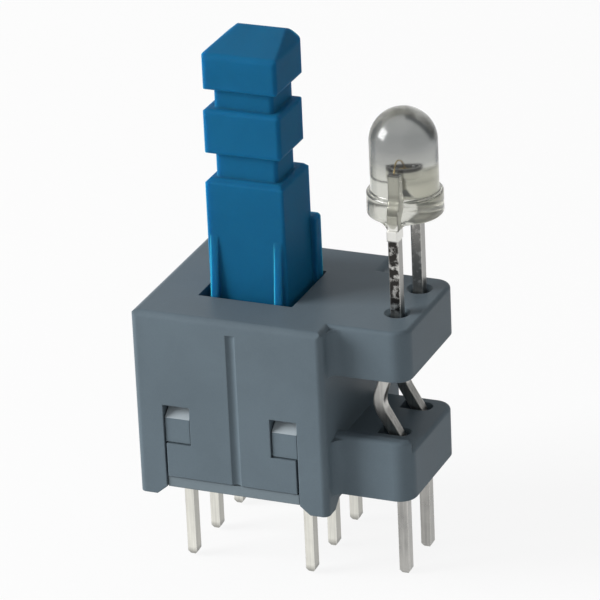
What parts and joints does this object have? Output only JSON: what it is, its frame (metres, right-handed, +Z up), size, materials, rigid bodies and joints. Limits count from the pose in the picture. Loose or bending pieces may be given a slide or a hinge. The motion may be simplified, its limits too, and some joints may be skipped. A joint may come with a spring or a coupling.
{
  "type": "pushbutton switch",
  "caption": "Upright push-push switch for a circuit board: square housing, sprung grooved plunger, side bracket that holds a round lamp, terminal pins below",
  "frame": {"origin": "middle of the square housing on the board plane, where the corner feet rest", "axes": "+Z up along the plunger's travel, +X towards the lamp bracket, -Y the front with the nearer latch windows"},
  "size_m": [0.0123, 0.0086, 0.0229],
  "materials": {
    "housing_gray": "fine matt moulded gray with a bluish cast",
    "base_gray": "moulded gray, a little lighter than the housing",
    "plunger_blue": "satin moulded blue",
    "spring_steel": "drawn wire",
    "contact_bronze": "stamped spring bronze",
    "tinned_metal": "satin tin plating",
    "clear_epoxy": "water-clear cast epoxy",
    "chip_yellow": "cut semiconductor die",
    "bond_gold": "drawn gold wire"
  },
  "bodies": {
    "body": {"housing": "housing_gray", "terminal_base": "base_gray", "return_spring": "spring_steel", "lock_pin_spring": "contact_bronze", "terminal_left_front": "tinned_metal", "terminal_left_middle": "tinned_metal", "terminal_left_rear": "tinned_metal", "terminal_right_front": "tinned_metal", "terminal_right_middle": "tinned_metal", "terminal_right_rear": "tinned_metal", "led_lens": "clear_epoxy", "led_anode": "tinned_metal", "led_cathode": "tinned_metal", "led_chip": "chip_yellow", "led_bond_wire": "bond_gold"},
    "plunger": {"plunger": "plunger_blue", "contact_clip_left": "contact_bronze", "contact_clip_right": "contact_bronze"},
    "lock_pin": {"lock_pin": "spring_steel"}
  },
  "joints": [
    {"name": "plunger_press", "type": "slide", "parent": "body", "child": "plunger", "axis": [0, 0, -1], "range_m": [0, 0.0027], "stiffness_N_per_m": 550, "springref_m": -0.0018, "deforming": ["return_spring"]},
    {"name": "lock_pin_swing", "type": "hinge", "parent": "body", "child": "lock_pin", "pos_m": [0, 0.0029, 0.00187], "axis": [0, 1, 0], "range_deg": [0, 22]}
  ],
  "couplings": [
    {"joint": "lock_pin_swing", "follows": "plunger_press", "rad_per_m": 139.84}
  ]
}
